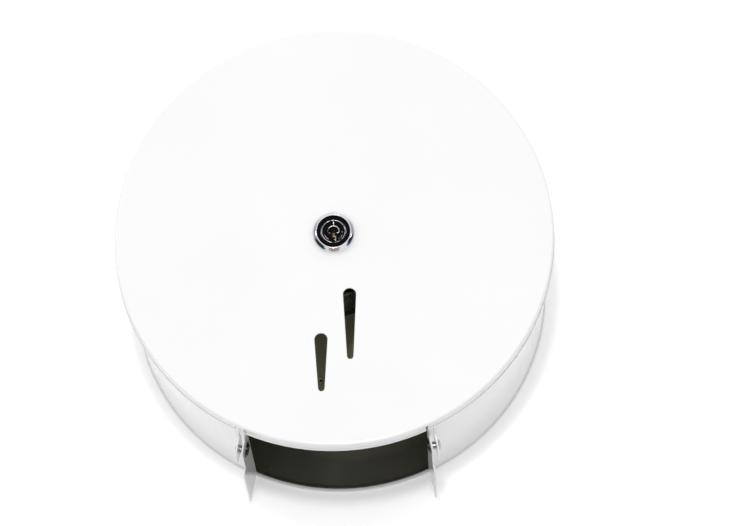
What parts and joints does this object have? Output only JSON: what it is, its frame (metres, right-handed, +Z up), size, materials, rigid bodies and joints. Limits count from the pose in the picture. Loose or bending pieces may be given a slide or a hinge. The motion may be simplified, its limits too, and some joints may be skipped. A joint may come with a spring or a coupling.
{
  "type": "jumbo toilet roll dispenser",
  "caption": "Round wall dispenser for one jumbo toilet roll: drum with an open bottom and toothed tear edges, hinged front cover with cam lock and sight slots, turning hub.",
  "frame": {"origin": "centre of the back plate's mounting face, in the plane of the wall", "axes": "+Z up, -Y out of the wall towards the user, +X to the user's right"},
  "size_m": [0.2714, 0.1244, 0.2735],
  "materials": {
    "white_coat": "smooth glossy white powder coat on steel sheet",
    "dark_coat": "satin dark olive grey paint on pressed steel",
    "black_steel": "black enamel on turned steel",
    "zinc_plate": "bright zinc plate, faint turning marks",
    "rivet_metal": "nickel-plated steel rivet",
    "spring_steel": "oiled dark spring steel",
    "hub_plastic": "moulded black plastic, slightly glossy",
    "bush_nylon": "natural nylon",
    "washer_plastic": "black nylon",
    "lock_chrome": "polished chrome plate on die-cast zinc",
    "lock_black": "semi-gloss black lacquer on die-cast zinc",
    "wafer_brass": "plain stamped brass"
  },
  "bodies": {
    "base": {"back_plate": "dark_coat", "drum_shell": "white_coat", "spindle_base": "black_steel", "spindle_base_rivets": "zinc_plate", "spindle_shaft": "zinc_plate", "spacer_tube": "black_steel", "thrust_washer": "zinc_plate", "retaining_clip": "spring_steel", "strike_bracket": "zinc_plate", "strike_washer": "zinc_plate", "strike_screw": "zinc_plate", "hinge_rivets": "rivet_metal", "hinge_washers": "washer_plastic"},
    "cover": {"front_cover": "white_coat", "lock_barrel": "lock_chrome", "lock_face": "lock_black", "lock_tooth_washer": "spring_steel", "lock_nut": "zinc_plate"},
    "plug": {"lock_plug": "lock_black", "lock_wafers": "wafer_brass", "lock_cam": "zinc_plate", "cam_washer": "zinc_plate", "cam_screw": "zinc_plate"},
    "hub": {"hub": "hub_plastic", "hub_stop_ring": "hub_plastic", "hub_bushes": "bush_nylon"}
  },
  "joints": [
    {"name": "cover_swing", "type": "hinge", "parent": "base", "child": "cover", "pos_m": [0, -0.0835, -0.12602], "axis": [1, 0, 0], "range_deg": [0, 150]},
    {"name": "lock_turn", "type": "hinge", "parent": "cover", "child": "plug", "pos_m": [0, -0.12, 0], "axis": [0, 1, 0], "range_deg": [0, 90]},
    {"name": "hub_spin", "type": "hinge", "parent": "base", "child": "hub", "pos_m": [0, -0.047, 0], "axis": [0, 1, 0], "continuous": true}
  ]
}
